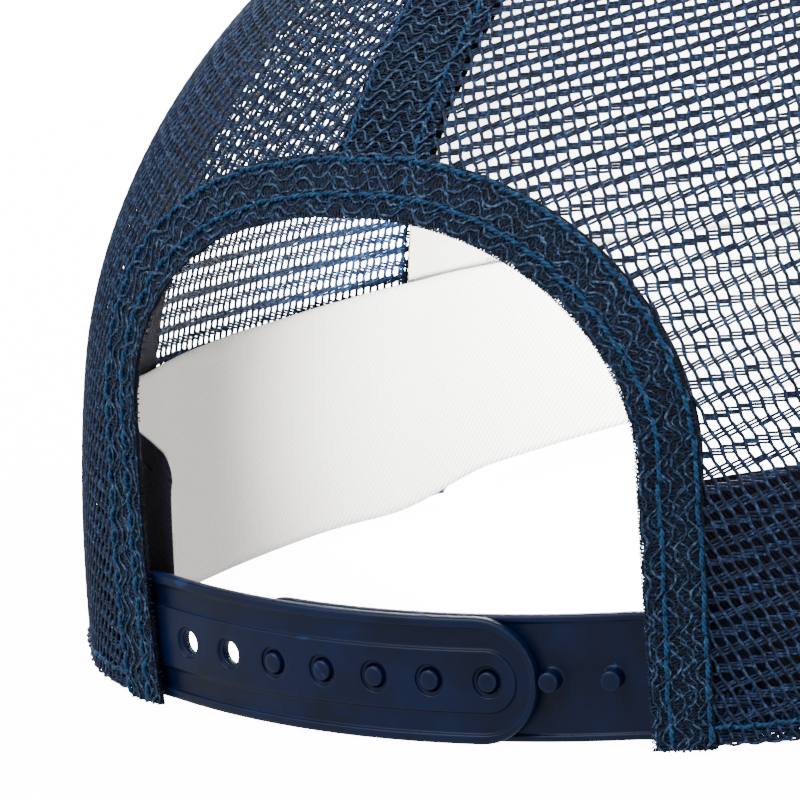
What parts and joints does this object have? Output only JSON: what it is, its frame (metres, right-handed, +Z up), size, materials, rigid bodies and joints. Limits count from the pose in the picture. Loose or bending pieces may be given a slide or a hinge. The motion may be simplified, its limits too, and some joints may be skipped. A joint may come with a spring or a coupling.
{
  "type": "trucker mesh cap",
  "caption": "Trucker cap with mesh back, foam front, curved visor and an adjustable snap closure across the rear opening.",
  "frame": {"origin": "on the crown's axis in the plane of the hem, in the middle of the head opening", "axes": "+Z up, visor towards -Y, rear opening towards +Y, wearer's left towards +X"},
  "size_m": [0.1734, 0.2681, 0.1305],
  "materials": {
    "mesh_fabric": "knitted polyester mesh",
    "binding_fabric": "folded knitted mesh",
    "front_fabric": "brushed polyester",
    "foam_lining": "open-cell foam",
    "seam_tape": "woven twill tape",
    "sweatband_fabric": "cotton twill",
    "board_plastic": "moulded polyethylene",
    "visor_fabric": "polyester twill with stitch rows",
    "visor_under_fabric": "polyester twill with stitch rows",
    "button_fabric": "fabric-covered button",
    "button_metal": "plated steel",
    "closure_plastic": "satin moulded polyethylene"
  },
  "bodies": {
    "crown": {"left_back_mesh": "mesh_fabric", "right_back_mesh": "mesh_fabric", "left_side_mesh": "mesh_fabric", "right_side_mesh": "mesh_fabric", "arch_binding": "binding_fabric", "front_panel_cover": "front_fabric", "front_panel_foam": "foam_lining", "back_seam_tape": "seam_tape", "left_side_seam_tape": "seam_tape", "right_side_seam_tape": "seam_tape", "left_front_seam_tape": "seam_tape", "right_front_seam_tape": "seam_tape", "sweatband": "sweatband_fabric", "visor_board": "board_plastic", "visor_top_cover": "visor_fabric", "visor_under_cover": "visor_under_fabric", "button_cap": "button_fabric", "button_rivet": "button_metal", "button_washer": "button_metal", "socket_strap_tab": "closure_plastic", "peg_strap_tab": "closure_plastic"},
    "socket_side": {"socket_strap": "closure_plastic"},
    "peg_side": {"peg_strap": "closure_plastic"}
  },
  "joints": [
    {"name": "socket_strap_swing", "type": "hinge", "parent": "crown", "child": "socket_side", "pos_m": [0.04117, 0.09651, 0.01], "axis": [0, 0, -1], "range_deg": [0, 80], "stiffness_Nm_per_rad": 0.02},
    {"name": "peg_strap_swing", "type": "hinge", "parent": "crown", "child": "peg_side", "pos_m": [-0.04061, 0.09485, 0.01], "axis": [0, 0, -1], "range_deg": [0, 35], "stiffness_Nm_per_rad": 0.02}
  ]
}
